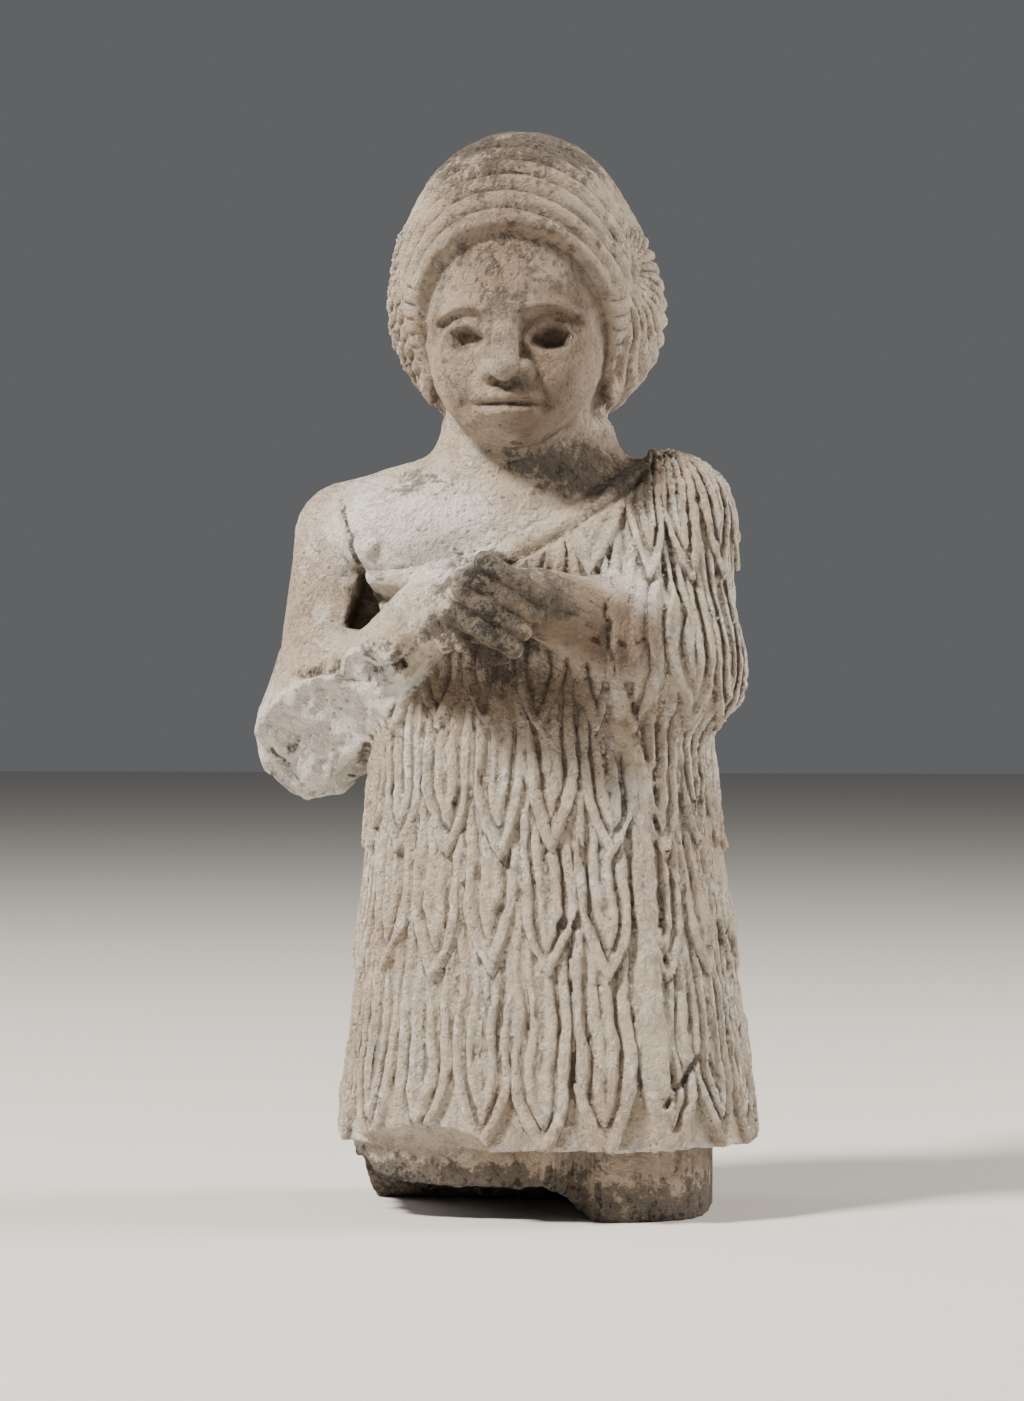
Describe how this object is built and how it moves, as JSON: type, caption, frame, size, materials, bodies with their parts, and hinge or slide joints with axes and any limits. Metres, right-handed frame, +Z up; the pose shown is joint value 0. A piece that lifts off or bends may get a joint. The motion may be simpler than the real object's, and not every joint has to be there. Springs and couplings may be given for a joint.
{
  "type": "worshipper statuette",
  "caption": "Carved stone statuette of a standing worshipper with clasped hands and a tufted fleece robe, broken off below the hem.",
  "frame": {"origin": "middle of the object's footprint, on the level that its broken underside stands on", "axes": "+Z up through the crown, -Y the way the figure faces, +X its left-hand side"},
  "size_m": [0.1326, 0.097, 0.2799],
  "materials": {
    "stone": "weathered carved limestone"
  },
  "bodies": {
    "root": {"statuette": "stone"}
  },
  "joints": []
}
